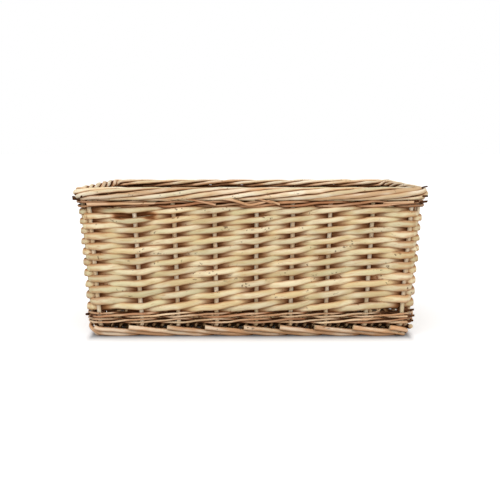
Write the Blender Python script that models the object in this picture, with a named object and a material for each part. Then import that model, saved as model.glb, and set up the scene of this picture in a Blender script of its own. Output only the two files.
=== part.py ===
"""Open rectangular willow basket, worked in one piece with no lid or handle.

Upright stakes carry a French-randed siding, three bands of waling and a woven base. Each
stake is one rod: its butt lies along the underside as the foot border, and its tip is laid
along the rim as the rope-like top border. Units are metres, +Z is up, the front faces -Y
and the origin is the middle of the footprint on the ground.
"""

import math
import random

import bmesh
import bpy
from mathutils import Vector

# Line through the stakes' centres, seen from above
HALF_WIDTH = 0.2103
HALF_DEPTH = 0.1323
CORNER_RADIUS = 0.0105
FLARE = 0.060

# Place of each stake as a share of its wall's straight length, corner stakes at 0 and 1
LONG_WALL_STAKES = (0.0, 0.139, 0.261, 0.388, 0.519, 0.633, 0.749, 0.881, 1.0)
SHORT_WALL_STAKES = (0.0, 0.2, 0.4, 0.6, 0.8, 1.0)
WALL_NAMES = ("front", "right", "back", "left")

# Clearances between rods that touch on the real basket
ROD_GAP = 0.0003
WRAP_GAP = 0.0005

# Stakes
STAKE_RADIUS = 0.0028
BUTT_RADIUS = 0.0032

# Foot border, worked from the stakes' butts: each one climbs over the next as it runs outward
FOOT_SPAN = 2.3
FOOT_ROD_GAP = 0.00144
FOOT_CLIMB = math.radians(37.75)
FOOT_TUCK = 0.0083
FOOT_FLAT = 0.0006
FOOT_BEND_TOP = 0.0175
FOOT_BEND_ROOT = 0.0105
FOOT_BEND_KNEE = 0.00525
FOOT_LEAN = 0.05
FOOT_START = 0.12

# Rim border, worked from the stakes' tips
RIM_STRANDS = 6
RIM_SPAN = 5.0
RIM_HEIGHT = 0.2000
RIM_ROD_RADIUS = 0.0027
RIM_START_ANGLE = math.radians(-115.0)
RIM_BEND = 0.07
RIM_BEND_DROP = 0.0042

# Waling bands: rods, half the height of the lay, how far before a stake a rod has come out,
# and the gaps below, between and above the bands
WALE_ROD_RADIUS = 0.0016
WALE_STRANDS = 3
WALE_HALF_LAY = 0.00275
WALE_LEAD = 0.20
WALE_BAND_GAP = 0.0003
LOWER_WALE_SEAT = 0.00104
UPPER_WALE_DROP = 0.0004
WALE_FIRST_POST = 23
WALE_CORNER_ANGLE = math.radians(30.0)
WALE_CORNER_REACH = 1.22

# Siding in French randing, one row of rise for each stake that is passed
SIDING_ROWS = 20
SIDING_START_DROP = 0.0003
SIDING_END_DROP = 0.00175
ROW_TAPER = 0.786
ROD_SLOPE_COSINE = 0.985
CORNER_ROWS = (0.20, 0.15, 0.65)
FIRST_OUTSIDE_ROW = 0.6
LAST_OUTSIDE_ROW = 19.1
ROW_MARGIN = 0.01
WEAVER_STUB = 0.25

# Woven base
BASE_STICKS = 4
BASE_STICK_RADIUS = 0.0035
BASE_STICK_TUCK = 0.0040
BASE_WEAVER_RADIUS = 0.00275
BASE_PASSES = 22
TURN_REACH = 1.20
TURN_HALF_HEIGHT = 0.55
TURN_SHARES = (0.35, 0.65)

# Finish
SIDING_COLOUR = (0.66, 0.54, 0.30)
STAKE_COLOUR = (0.72, 0.58, 0.36)
WALE_COLOUR = (0.36, 0.17, 0.08)
BASE_COLOUR = (0.55, 0.42, 0.24)
ROUGHNESS = 0.62
TONE_SPREAD = 0.12

tones = random.Random(7)


# Stakes round the basket


def stakes_round():
    """(name, wall, share, corner side) of each stake, against the clock from the front left."""
    found = []
    for wall, name in enumerate(WALL_NAMES):
        shares = SHORT_WALL_STAKES if wall % 2 else LONG_WALL_STAKES
        if name == "back":
            shares = tuple(1.0 - share for share in reversed(shares))
        for number, share in enumerate(shares):
            side = {0.0: -1, 1.0: 1}.get(share, 0)
            found.append((f"{name}_{number}", wall, share, side))
    return found


STAKES = stakes_round()
COUNT = len(STAKES)


def wall_axes(wall):
    """Outward and along directions of a wall, seen from above."""
    angle = math.radians(90.0 * wall - 90.0)
    outward = Vector((math.cos(angle), math.sin(angle), 0.0))
    along = Vector((-math.sin(angle), math.cos(angle), 0.0))
    return outward, along


def wall_spans(wall, height):
    """Distance of a wall from the middle, and half of its straight length, at a height."""
    width = HALF_WIDTH + FLARE * height
    depth = HALF_DEPTH + FLARE * height
    away, half = (width, depth) if wall % 2 else (depth, width)
    return away, half - CORNER_RADIUS


def stake_at(index, height):
    """Centre of a stake at a height, with the outward and along directions there."""
    _, wall, share, _ = STAKES[index % COUNT]
    outward, along = wall_axes(wall)
    away, half = wall_spans(wall, height)
    centre = outward * away + along * half * (2.0 * share - 1.0)
    return centre + Vector((0.0, 0.0, height)), outward, along


def on_wall(place, reach, height):
    """Point at a place counted in stakes, at a reach outward from the line of the stakes."""
    index = math.floor(place)
    share = place - index
    first, outward, along = stake_at(index, height)
    if share < 1e-9:
        return first + outward * reach
    last, _, _ = stake_at(index + 1, height)
    if STAKES[index % COUNT][3] == 1:
        middle = first - outward * CORNER_RADIUS
        turn = share * math.pi / 2.0
        facing = outward * math.cos(turn) + along * math.sin(turn)
        return middle + facing * (CORNER_RADIUS + reach)
    return first.lerp(last, share) + outward * reach


def spacing(index):
    """Distance between a stake and the next one at the ground."""
    return (stake_at(index + 1, 0.0)[0] - stake_at(index, 0.0)[0]).length


def stations(start, end):
    """Places from start to end: both ends, and three places on each corner that is passed."""
    found = {start, end}
    for index in range(math.floor(start), math.ceil(end)):
        if STAKES[index % COUNT][3] == 1:
            found.update((index, index + 0.5, index + 1))
    return sorted(place for place in found if start <= place <= end)


# Rods


def finish(name, colour):
    """A material for one rod, a little lighter or darker than its neighbours."""
    tone = 1.0 + tones.uniform(-TONE_SPREAD, TONE_SPREAD)
    material = bpy.data.materials.new(name)
    material.use_nodes = True
    shader = material.node_tree.nodes["Principled BSDF"]
    shader.inputs["Base Color"].default_value = (*(tone * part for part in colour), 1.0)
    shader.inputs["Roughness"].default_value = ROUGHNESS
    shader.inputs["Metallic"].default_value = 0.0
    return material


def rod(name, points, radii, sides, colour, twist="MINIMUM", tilt=0.0):
    """One closed rod along the points, swept as a bevelled curve and kept as a mesh."""
    curve = bpy.data.curves.new(name, "CURVE")
    curve.dimensions = "3D"
    curve.twist_mode = twist
    curve.bevel_depth = max(radii)
    curve.bevel_resolution = (sides - 4) // 2
    curve.use_fill_caps = True
    spline = curve.splines.new("POLY")
    spline.points.add(len(points) - 1)
    for knot, point, radius in zip(spline.points, points, radii):
        knot.co = (*point, 1.0)
        knot.radius = radius / max(radii)
        knot.tilt = tilt
    guide = bpy.data.objects.new(name, curve)
    mesh = bpy.data.meshes.new_from_object(guide)
    bpy.data.objects.remove(guide)
    mesh.name = name

    body = bmesh.new()
    body.from_mesh(mesh)
    bmesh.ops.remove_doubles(body, verts=body.verts, dist=1e-6)
    bmesh.ops.recalc_face_normals(body, faces=body.faces)
    body.to_mesh(mesh)
    body.free()
    mesh.shade_smooth()
    mesh.set_sharp_from_angle(angle=math.radians(75.0))

    piece = bpy.data.objects.new(name, mesh)
    mesh.materials.clear()
    mesh.materials.append(finish(name, colour))
    bpy.context.scene.collection.objects.link(piece)
    return piece


def cut_flat_underside(piece):
    """Cuts the rod flat where it stands on the ground."""
    body = bmesh.new()
    body.from_mesh(piece.data)
    everything = body.verts[:] + body.edges[:] + body.faces[:]
    cut = bmesh.ops.bisect_plane(
        body, geom=everything, plane_co=(0, 0, 0), plane_no=(0, 0, 1), clear_inner=True
    )
    rim = [part for part in cut["geom_cut"] if isinstance(part, bmesh.types.BMEdge)]
    bmesh.ops.holes_fill(body, edges=rim)
    body.to_mesh(piece.data)
    body.free()


# Stakes with their two borders


def foot_lay(passed):
    """Reach and height of a butt where it has passed this many stakes beyond its own."""
    step = 2.0 * BUTT_RADIUS + FOOT_ROD_GAP
    reach = step * math.cos(FOOT_CLIMB) * passed - FOOT_TUCK
    rise = step * math.sin(FOOT_CLIMB) * (passed - FOOT_START)
    return reach, BUTT_RADIUS - FOOT_FLAT + rise


def foot_path(index):
    """Butt of a stake, from its cut end outside to the bend under its own upright."""
    points = []
    for place in stations(index - FOOT_SPAN, index - FOOT_START):
        reach, height = foot_lay(index - place)
        points.append(on_wall(place, reach, height))
    knee = on_wall(index - FOOT_LEAN, -FOOT_TUCK, FOOT_BEND_KNEE)
    root = on_wall(index - FOOT_LEAN, -FOOT_TUCK, FOOT_BEND_ROOT)
    return points, [knee, root, on_wall(index, 0.0, FOOT_BEND_TOP)]


def rim_lay_radius():
    """Radius of the rope's lay, at which neighbouring strands clear each other."""
    step = math.pi / RIM_STRANDS
    return (RIM_ROD_RADIUS + 0.5 * ROD_GAP) / (math.sin(step) * math.cos(0.5 * step))


def rim_path(index):
    """Tip of a stake, laid round the middle of the border like a strand of a rope."""
    lay = rim_lay_radius()
    middle = RIM_HEIGHT - lay - RIM_ROD_RADIUS
    overhang = -lay * math.cos(RIM_START_ANGLE)

    def strand(passed):
        angle = RIM_START_ANGLE + passed * 2.0 * math.pi / RIM_STRANDS
        reach = overhang + lay * math.cos(angle)
        return on_wall(index + passed, reach, middle + lay * math.sin(angle))

    bend = middle + lay * math.sin(RIM_START_ANGLE) - RIM_BEND_DROP
    points = [on_wall(index, 0.0, bend), strand(RIM_BEND)]
    points += [strand(0.5 * half) for half in range(1, round(2.0 * RIM_SPAN) + 1)]
    return points


def make_stake(index):
    butt, bend = foot_path(index)
    tip = rim_path(index)
    radii = [BUTT_RADIUS] * len(butt) + [STAKE_RADIUS] * (len(bend) + 1)
    radii += [RIM_ROD_RADIUS] * (len(tip) - 1)
    name = f"stake_{STAKES[index][0]}"
    piece = rod(name, butt + bend + tip, radii, 4, STAKE_COLOUR)
    cut_flat_underside(piece)
    return piece


# Waling


def band_middles():
    """Heights of the middles of the two lower bands and of the upper one."""
    half_band = WALE_HALF_LAY + WALE_ROD_RADIUS
    foot_top = foot_lay(FOOT_SPAN)[1] + BUTT_RADIUS
    first = foot_top + LOWER_WALE_SEAT + half_band
    second = first + 2.0 * half_band + WALE_BAND_GAP
    rim_bottom = RIM_HEIGHT - 2.0 * (rim_lay_radius() + RIM_ROD_RADIUS)
    return first, second, rim_bottom - UPPER_WALE_DROP - half_band


def wale_posts():
    """Stakes that a wale passes one by one: the two stakes of a corner count as one post."""
    return [index for index in range(COUNT) if STAKES[index][3] != -1]


def wale_front(post, level, lead):
    """Points of a wale rod in front of a post, which on a corner go round both stakes."""
    reach = STAKE_RADIUS + WALE_ROD_RADIUS + WRAP_GAP
    if STAKES[post][3] == 0:
        return [on_wall(post + lead, reach, level)]
    points = []
    for index in (post, post + 1):
        centre, outward, along = stake_at(index, level)
        side = STAKES[index % COUNT][3]
        facing = outward * math.cos(WALE_CORNER_ANGLE)
        facing += along * side * math.sin(WALE_CORNER_ANGLE)
        points.append(centre + facing * reach * WALE_CORNER_REACH)
    if lead < 0.0:
        return [on_wall(post + lead, reach, level)] + points
    return points + [on_wall(post + 1 + lead, reach, level)]


def make_wale(name, height, tuck):
    """One band: three strands, each in front of two posts and behind one, joined end to end."""
    posts = wale_posts()
    first = posts.index(WALE_FIRST_POST)
    reach = STAKE_RADIUS + WALE_ROD_RADIUS + WRAP_GAP
    end_lift = WALE_ROD_RADIUS + WRAP_GAP
    steps = WALE_STRANDS * len(posts)
    points = []
    for step in range(steps + 1):
        post = posts[(first + step) % len(posts)]
        phase = step % WALE_STRANDS
        if phase == 1:
            points += wale_front(post, height - WALE_HALF_LAY, -WALE_LEAD)
        elif phase == 2:
            points += wale_front(post, height + WALE_HALF_LAY, WALE_LEAD)
        elif STAKES[post][3] == 0:
            points.append(on_wall(post, -reach, height + tuck))
        elif step in (0, steps):
            middle = tuck - math.copysign(end_lift, tuck) if tuck else 0.0
            lift = end_lift if step else -end_lift
            points.append(on_wall(post + 0.5, -reach, height + middle + lift))
        else:
            points.append(on_wall(post + 0.5, -reach, height + tuck))
    radii = [WALE_ROD_RADIUS] * len(points)
    return rod(name, points, radii, 4, WALE_COLOUR, "Z_UP")


# Siding


def rows_to(index):
    """Rows of rise from the first stake to this one, with one row for the three steps of a corner."""
    rows = 0.0
    for passed in range(index):
        _, wall, _, side = STAKES[passed % COUNT]
        next_side = STAKES[(passed + 1) % COUNT][3]
        if side == 1:
            rows += CORNER_ROWS[1]
        elif side == -1 or next_side == 1:
            rows += CORNER_ROWS[2 if wall % 2 else 0]
        else:
            rows += 1.0
    return rows


def siding_ends():
    """Heights of the first and last rows, between the top of the lower bands and the upper band."""
    _, second, upper = band_middles()
    first_row = second + WALE_HALF_LAY + WALE_ROD_RADIUS - SIDING_START_DROP
    return first_row, upper - SIDING_END_DROP


def row_pitch(row):
    """Distance between rows, which shrinks as the rods taper towards their tips."""
    first_row, last_row = siding_ends()
    lowest = 2.0 * (last_row - first_row) / (SIDING_ROWS * (1.0 + ROW_TAPER))
    return lowest * (1.0 - (1.0 - ROW_TAPER) * row / SIDING_ROWS)


def row_height(row):
    first_row, _ = siding_ends()
    return first_row + row * 0.5 * (row_pitch(0) + row_pitch(row))


def row_radius(row):
    """Radius that fills a row but for the gap to the rows above and below."""
    return 0.5 * (row_pitch(row) * ROD_SLOPE_COSINE - ROD_GAP)


def weaver_reach(row):
    """Distance between the centres of a stake and of the weaver that passes it."""
    return STAKE_RADIUS + row_radius(row) * math.cos(math.pi / 6.0) + WRAP_GAP


def corner_wrap(index, row):
    """Two points that take a weaver round the outside of a corner stake."""
    reach = weaver_reach(row)
    side = STAKES[index % COUNT][3]
    centre, outward, along = stake_at(index, row_height(row))
    arrive = -math.atan(2.0 * reach / spacing(index - 1 if side == 1 else index))
    leave = math.radians(45.0) + math.asin(2.0 * reach / (CORNER_RADIUS * math.sqrt(2.0)))
    middle = 0.5 * (arrive + leave)
    quarter = 0.25 * (leave - arrive)
    points = []
    for angle in (middle - quarter, middle + quarter):
        facing = outward * math.cos(angle) + along * side * math.sin(angle)
        points.append(centre + facing * reach / math.cos(quarter))
    return points if side == 1 else points[::-1]


def stub(index, way, base):
    """End of a weaver, left a little past the inside of the stake that holds it."""
    row = rows_to(index) - base
    next_row = rows_to(index - way) - base
    reach = weaver_reach(row) * (1.0 + 2.0 * WEAVER_STUB)
    height = row_height(row + (row - next_row) * WEAVER_STUB)
    return on_wall(index + way * WEAVER_STUB, -reach, height)


def make_weaver(number, start):
    """One siding rod, from behind its first stake at the bottom to behind one at the top."""
    base = rows_to(start)
    first = start
    while rows_to(first + 1) - base < FIRST_OUTSIDE_ROW:
        first += 2
    last = first
    while (
        rows_to(last + 2) - base < SIDING_ROWS + ROW_MARGIN
        and rows_to(last + 1) - base < LAST_OUTSIDE_ROW
    ):
        last += 2
    points = [stub(first, -1, base)]
    rows = [rows_to(first) - base]
    for index in range(first + 1, last):
        row = rows_to(index) - base
        outside = (index - first) % 2 == 1
        if outside and STAKES[index % COUNT][3]:
            added = corner_wrap(index, row)
        else:
            away = weaver_reach(row) if outside else -weaver_reach(row)
            added = [on_wall(index, away, row_height(row))]
        points += added
        rows += [row] * len(added)
    points.append(stub(last, 1, base))
    rows.append(rows_to(last) - base)
    radii = [row_radius(row) for row in rows]
    name = f"siding_weaver_{number:02d}"
    return rod(name, points, radii, 6, SIDING_COLOUR, "Z_UP", math.pi / 6.0)


# Base


def base_level():
    """Height of the base sticks, whose ends rest on the foot border of the short walls."""
    tuck, _ = foot_lay(0.0)
    next_tuck, _ = foot_lay(1.0)
    passed = (-BASE_STICK_TUCK - tuck) / (next_tuck - tuck)
    foot_top = foot_lay(passed)[1] + BUTT_RADIUS
    return foot_top + ROD_GAP + BASE_STICK_RADIUS


def make_base():
    """Lengthwise sticks, and one rod woven to and fro across them."""
    level = base_level()
    sway = BASE_STICK_RADIUS + BASE_WEAVER_RADIUS + WRAP_GAP
    inside = FOOT_TUCK + STAKE_RADIUS + WRAP_GAP
    turn = HALF_DEPTH - inside - BASE_WEAVER_RADIUS
    outer = turn - TURN_REACH * sway
    rows = [outer * (2.0 * number / (BASE_STICKS - 1) - 1.0) for number in range(BASE_STICKS)]
    half = HALF_WIDTH + FLARE * level - BASE_STICK_TUCK
    for number, row in enumerate(rows):
        ends = [Vector((-half, row, level)), Vector((half, row, level))]
        radii = [BASE_STICK_RADIUS] * 2
        rod(f"base_stick_{number + 1}", ends, radii, 8, BASE_COLOUR)

    reach = HALF_WIDTH - inside - BASE_WEAVER_RADIUS
    step = 2.0 * reach / (BASE_PASSES - 1)
    points = []
    for passing in range(BASE_PASSES):
        x = passing * step - reach
        way = 1 if passing % 2 == 0 else -1
        for number, row in enumerate(rows):
            height = level + (sway if number % 2 == 0 else -sway)
            points.append(Vector((x, way * row, height)))
        if passing < BASE_PASSES - 1:
            rise = TURN_HALF_HEIGHT * sway
            for share, height in zip(TURN_SHARES, (level - rise, level + rise)):
                points.append(Vector((x + share * step, way * turn, height)))
    radii = [BASE_WEAVER_RADIUS] * len(points)
    rod("base_weave", points, radii, 4, BASE_COLOUR)


def main():
    for old in list(bpy.data.objects):
        bpy.data.objects.remove(old)
    for index in range(COUNT):
        make_stake(index)
    starts = [index for index in range(COUNT) if STAKES[index][3] == 0]
    for number, start in enumerate(starts):
        make_weaver(number + 1, start)
    first, second, upper = band_middles()
    make_wale("lower_wale_1", first, 0.0)
    make_wale("lower_wale_2", second, -WALE_HALF_LAY)
    make_wale("upper_wale", upper, WALE_HALF_LAY)
    make_base()


main()
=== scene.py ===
"""Open rectangular willow basket: one round, grown-looking rod for each faceted rod of the frame.

Every rod is a swept mesh along the same route as its solid, with the taper, wander, knots and
slanted cuts of real willow. Units are metres, +Z is up and the front faces -Y.
"""

import math
import random

import bpy
import numpy as np
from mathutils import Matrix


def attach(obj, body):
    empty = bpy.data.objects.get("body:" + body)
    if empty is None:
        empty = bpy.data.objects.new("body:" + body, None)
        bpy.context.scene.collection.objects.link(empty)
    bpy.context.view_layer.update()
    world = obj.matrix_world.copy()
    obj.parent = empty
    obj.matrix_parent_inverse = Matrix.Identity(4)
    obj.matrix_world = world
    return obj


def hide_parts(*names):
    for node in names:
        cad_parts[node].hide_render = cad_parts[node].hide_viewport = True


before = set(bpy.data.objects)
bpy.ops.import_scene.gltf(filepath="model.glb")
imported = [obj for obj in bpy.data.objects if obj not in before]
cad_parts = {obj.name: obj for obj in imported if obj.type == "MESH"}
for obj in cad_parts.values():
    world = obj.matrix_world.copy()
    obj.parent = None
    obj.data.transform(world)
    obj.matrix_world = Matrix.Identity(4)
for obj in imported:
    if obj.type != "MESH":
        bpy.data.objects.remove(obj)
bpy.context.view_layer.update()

# Camera, fitted to the photograph: place, downward pitch and lens
CAMERA_PLACE = (-0.0006, -1.2370, 0.2480)
CAMERA_PITCH = math.radians(6.8)
LENS = 60.4

# Line through the stakes' centres, as in the frame
HALF_WIDTH = 0.2103
HALF_DEPTH = 0.1323
CORNER_RADIUS = 0.0105
FLARE = 0.060
LONG_WALL_STAKES = (0.0, 0.139, 0.261, 0.388, 0.519, 0.633, 0.749, 0.881, 1.0)
SHORT_WALL_STAKES = (0.0, 0.2, 0.4, 0.6, 0.8, 1.0)
WALL_NAMES = ("front", "right", "back", "left")

# Clearances between rods that touch
ROD_GAP = 0.0003
WRAP_GAP = 0.0002
BASE_GAP = 0.0005
RIM_GAP = 0.0003

# Stakes, and their redness at the foot, at its bend and in the wall
STAKE_RADIUS = 0.0028
BUTT_RADIUS = 0.0032
WALL_KNOTS = 9
BUTT_REDNESS = 0.75
BEND_REDNESS = 0.3
WALL_REDNESS = 0.2

# Foot border, worked from the stakes' butts
FOOT_SPAN = 2.3
FOOT_ROD_GAP = 0.00144
FOOT_CLIMB = math.radians(37.75)
FOOT_CLIMB_START = 0.60
FOOT_CLIMB_CURVE = 1.10
FOOT_TUCK = 0.0083
FOOT_FLAT = 0.0006
FOOT_BEND_TOP = 0.0175
FOOT_BEND_ROOT = 0.0105
FOOT_BEND_KNEE = 0.00525
FOOT_LEAN = 0.05
FOOT_START = 0.12
FOOT_BULGE = 0.0028
FOOT_BULGE_PLACE = 0.55
FOOT_BULGE_SPREAD = 0.35

# Rim border, worked from the stakes' tips
RIM_ROD_RADIUS = 0.0027
RIM_STRANDS = 6
RIM_SPAN = 5.0
RIM_HEIGHT = 0.2000
RIM_START_ANGLE = math.radians(-115.0)
RIM_BEND = 0.07
RIM_BEND_DROP = 0.0042
RIM_KNOTS = 22
RIM_FIRST_KNOT = 0.25
RIM_WANDER = math.radians(5.0)
RIM_WANDER_RATE = 1.9
RIM_FULLNESS = 1.08
RIM_TAPER = 0.06
RIM_STOUTNESS = (0.95, 1.06)
RIM_TIP_LENGTH = (0.3, 0.7)
RIM_TIP_START = RIM_SPAN - 0.8
RIM_TIP_SINK = 0.0010
RIM_TIP_TAPER = 0.35
RIM_REDNESS = (0.0, 0.0, 0.1, 0.2, 0.5)

# Waling bands
WALE_STRANDS = 3
WALE_ROD_RADIUS = 0.0015
WALE_HALF_LAY = 0.0022
WALE_CROSSING = 0.0020
WALE_FIRST_POST = 23
WALE_CORNER_ANGLE = math.radians(30.0)
WALE_CORNER_REACH = 1.22
WALE_BAND_HALF = 0.00435
WALE_BAND_GAP = 0.0003
LOWER_WALE_SEAT = 0.00104
LOWER_WALE_LIFTS = (0.0004, -0.0007)
UPPER_WALE_DROP = 0.0004
UPPER_WALE_LIFT = 0.0003
UPPER_WALE_HALF_LAY = 0.0028
UPPER_WALE_RADIUS = 0.0016

# Rods of a band: posts spanned, slant of the ends, stoutness, taper and redness
WALE_ROD_POSTS = 4
WALE_END_LIFT = 0.0012
WALE_STIFFNESS = (0.84, 1.14)
WALE_FULLNESS = 1.06
WALE_TAPER = 0.16
WALE_REDNESS = (0.0, 0.1, 0.3, 0.5, 0.8)

# Ends that stand out of a band at the corners
TIP_ROOT_REACH = 0.0045
TIP_ROOT_PLACE = -0.25
TIP_MIDDLE_PLACE = -0.10
TIP_ROOT_DROP = 0.0010
TIP_RISE = 0.0004

# Row that closes the wall under the rim, inside the stakes, which seen from outside takes painted deep
# shade
INNER_ROW_HEIGHT = 0.1853
INNER_ROW_REACH = -0.0054
INNER_ROW_RADIUS = 0.0024
INNER_ROW_STARTS = (-0.6, 7.4, 13.7, 22.4)
INNER_ROW_OVERLAP = 0.8
INNER_ROW_DROP = 0.0010
INNER_ROW_TAPER = 0.25
INNER_ROW_REDNESS = (0.1, 0.3, 0.5)

# Siding in French randing, one row of rise for each stake that is passed
SIDING_ROWS = 20
SIDING_START_DROP = 0.0003
SIDING_END_DROP = 0.00175
ROW_TAPER = 0.786
ROD_SLOPE_COSINE = 0.985
CORNER_ROWS = (0.20, 0.15, 0.65)  # on the long wall, round the corner, on the short wall
CORNER_SHARES = (0.2, 0.5, 0.8)
FIRST_OUTSIDE_ROW = 0.6
LAST_OUTSIDE_ROW = 19.1
ROW_MARGIN = 0.01
WEAVER_STUB = 0.25
WEAVER_UNEVEN = 0.0006

# Section of a weaver as shares of its row, at a stake, between stakes and on a corner
WEAVER_TALL = 1.30
WEAVER_TALL_BEHIND = 1.90
WEAVER_DEEP = 0.95
WEAVER_CROSSING = 1.14
WEAVER_CROSSING_TALL = 1.12
CORNER_TALL = 1.34
CORNER_DEEP = 0.52

# Thin spots of the siding, each a gap with painted dark shade in it: stake, height, share of thickness
# left
THIN_SPOTS = ((1, 0.1625, 0.70),)

# Base
BASE_STICKS = 4
BASE_STICK_RADIUS = 0.0035
BASE_STICK_TUCK = 0.0040
BASE_STICK_KNOTS = 9
BASE_STICK_REDNESS = 0.2
BASE_WEAVER_RADIUS = 0.00275
BASE_WEAVER_REDNESS = 0.1
BASE_PITCH = 0.00565
TURN_REACH = 1.20

# Growth of a rod: waves of its wander and swelling, its knots, and how oval it is
WANDER_WAVES = (0.031, 0.053, 0.117)
SWELL_WAVES = (0.019, 0.043, 0.131)
FIRST_KNOT = 0.09
KNOT_SPACING = (0.07, 0.16)
KNOT_SWELL = 0.06
KNOT_LENGTH = 0.0035
OVAL = 0.03
OVAL_TWIST = 9.0
OVAL_TURN = 6.0
GRAIN_OFFSET = 20.0

# Mesh fineness, and the steepest start of a rod that the vertical can guide
SIDES = 12
THIN_SIDES = 10
STEP = 0.0030
STEEP = 0.8


# Stakes round the basket


def stakes_round():
    """(name, wall, share, corner side) of each stake, against the clock from the front left."""
    found = []
    for wall, name in enumerate(WALL_NAMES):
        shares = SHORT_WALL_STAKES if wall % 2 else LONG_WALL_STAKES
        if name == "back":
            shares = tuple(1.0 - share for share in reversed(shares))
        for number, share in enumerate(shares):
            side = {0.0: -1, 1.0: 1}.get(share, 0)
            found.append((f"{name}_{number}", wall, share, side))
    return found


STAKES = stakes_round()
COUNT = len(STAKES)


def corner_side(index):
    """1 for the last stake of a wall, -1 for the first, and 0 between them."""
    return STAKES[index % COUNT][3]


def stake_at(index, height):
    """Centre of a stake at a height, with the outward and along directions there."""
    _, wall, share, _ = STAKES[index % COUNT]
    angle = math.radians(90.0 * wall - 90.0)
    outward = np.array((math.cos(angle), math.sin(angle), 0.0))
    along = np.array((-math.sin(angle), math.cos(angle), 0.0))
    width = HALF_WIDTH + FLARE * height
    depth = HALF_DEPTH + FLARE * height
    away, half = (width, depth) if wall % 2 else (depth, width)
    centre = outward * away + along * (half - CORNER_RADIUS) * (2.0 * share - 1.0)
    return centre + np.array((0.0, 0.0, height)), outward, along


def on_wall(place, reach, height):
    """Point at a place counted in stakes, at a reach outward from the line of the stakes."""
    index = math.floor(place)
    share = place - index
    first, outward, along = stake_at(index, height)
    if share < 1e-9:
        return first + outward * reach
    last, _, _ = stake_at(index + 1, height)
    if corner_side(index) == 1:
        middle = first - outward * CORNER_RADIUS
        turn = share * math.pi / 2.0
        facing = outward * math.cos(turn) + along * math.sin(turn)
        return middle + facing * (CORNER_RADIUS + reach)
    return first + (last - first) * share + outward * reach


def spacing(index):
    """Distance between a stake and the next one at the ground."""
    return float(np.linalg.norm(stake_at(index + 1, 0.0)[0] - stake_at(index, 0.0)[0]))


def stations(start, end):
    """Places from start to end, at every half stake and at both ends."""
    halves = range(math.ceil(2.0 * start), math.ceil(2.0 * end))
    return sorted({start, end, *(0.5 * half for half in halves)})


# Curves and numbers


def soft_step(values, low, high):
    """Smooth rise from 0 at the low value to 1 at the high one."""
    share = np.clip((values - low) / (high - low), 0.0, 1.0)
    return share * share * (3.0 - 2.0 * share)


def ripple(distance, dice, size, lengths):
    """Sum of a few waves of unlike length along a rod, of about the given size."""
    waves = [np.sin(math.tau * distance / length + dice.uniform(0.0, math.tau)) for length in lengths]
    return sum(waves) * size / math.sqrt(len(lengths))


def curve_stretch(rows, times):
    """Rows from the second to the third of four knots, about a step apart."""
    count = max(1, math.ceil(np.linalg.norm(rows[2, :3] - rows[1, :3]) / STEP))
    now = (times[1] + (times[2] - times[1]) * np.arange(count) / count)[:, None]

    def on_the_way(before, after, start, end):
        return ((end - now) * before + (now - start) * after) / (end - start)

    near = [on_the_way(rows[k], rows[k + 1], times[k], times[k + 1]) for k in range(3)]
    far = [on_the_way(near[k], near[k + 1], times[k], times[k + 2]) for k in range(2)]
    return on_the_way(*far, times[1], times[2])


def smooth_curve(knots):
    """Centripetal Catmull-Rom curve through rows of values, the first three of them a place."""
    knots = np.asarray(knots, float)
    rows = np.vstack([2 * knots[0] - knots[1], knots, 2 * knots[-1] - knots[-2]])
    gaps = np.sqrt(np.linalg.norm(np.diff(rows[:, :3], axis=0), axis=1))
    times = np.concatenate([[0.0], np.cumsum(gaps)])
    spans = [slice(first, first + 4) for first in range(len(knots) - 1)]
    return np.vstack([*(curve_stretch(rows[span], times[span]) for span in spans), knots[-1:]])


# Painted light in the weave: openness is light and shade painted into the colour, 1 where a surface lies
# clear and 0 deep among the rods

# Reach from the stakes' line, slope of upper and under sides, which get painted shade, and painted light
# inside by height
OPEN_REACH = (-0.0042, 0.0050)
CREVICE_SLOPE = (0.72, 1.0)
INSIDE_LIGHT = 0.15
INSIDE_HEIGHTS = (0.020, 0.070)

# Painted shade of the bands on the weavers beside them, and size and soft edge of a painted dark gap
BAND_SHADE = 0.8
UPPER_BAND_EDGE = (-0.0010, 0.0015)
LOWER_BAND_EDGE = (-0.0025, 0.0)
DARK_GAP = (0.032, 0.0075, 0.0054)
DARK_GAP_EDGE = (0.7, 1.1)

# Stakes: painted shade by distance from the rope's middle and inside it, painted light by facing in the
# wall, and on the foot's outer side painted light with painted shade beneath
ROPE_EDGE = (0.0067, 0.0086)
ROPE_INNER_SHADE = 0.18
ROPE_INNER_REACH = 0.006
STAKE_FACING = (-0.3, 0.5)
FOOT_LIGHT = 0.95
FOOT_FACING = (0.15, 0.90)
FOOT_REACH = (-0.0065, 0.0015)
FOOT_UNDERSIDE = (0.1, 0.7)
FOOT_UNDERSIDE_SHADE = 0.5
FOOT_TOP = FOOT_BEND_TOP - 0.003

# Waling: painted shade by reach and facing, the rim's painted shade on the upper band, and painted shade
# on undersides
WALE_REACH = (0.0010, 0.0056)
WALE_FACING = (-0.2, 0.75)
RIM_SHADE = 0.48
RIM_SHADE_HEIGHTS = (0.100, 0.170)
WALE_UNDERSIDE = (0.20, 0.90)

# Base: painted light by height off its middle, painted shade at its edges, and painted highlights on the
# turns that show through the foot
BASE_LIGHT = 0.45
BASE_LEVELS = (0.0005, 0.0060)
BASE_REACH = (0.010, 0.030)
BASE_EDGE_FACING = (0.1, 0.5)
BASE_EDGE_REACH = (0.03, 0.06)
BASE_TURN_LIGHT = 0.8
BASE_TURN_FACING = (0.84, 0.98)
BASE_TURN_REACH = (0.016, 0.018)

# Openness given to cut tips, low so that they take the colours of deep shade all round
DARK_END_OPENNESS = 0.04


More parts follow.
